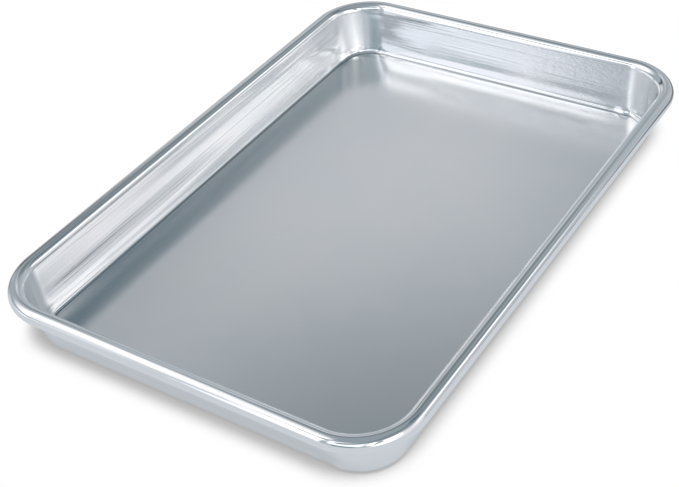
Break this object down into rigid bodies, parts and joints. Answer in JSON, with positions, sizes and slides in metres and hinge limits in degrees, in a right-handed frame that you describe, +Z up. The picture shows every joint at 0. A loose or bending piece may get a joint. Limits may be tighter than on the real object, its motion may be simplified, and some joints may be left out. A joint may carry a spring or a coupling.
{
  "type": "quarter sheet pan",
  "caption": "Rectangular baking pan pressed from one aluminium sheet, with low sloped walls, round corners and an edge rolled round a steel wire.",
  "frame": {"origin": "middle of the underside, at the bottom centre of the whole pan's box", "axes": "+Y along the long side, +X along the short side, +Z up, out of the pan"},
  "size_m": [0.229, 0.33, 0.0317],
  "materials": {
    "bare_aluminium": "bare natural aluminium, satin on the floor and drawn bright along the walls and the rolled rim",
    "galvanised_steel": "dull zinc coating"
  },
  "bodies": {
    "root": {"pan_body": "bare_aluminium", "rim_wire": "galvanised_steel"}
  },
  "joints": []
}
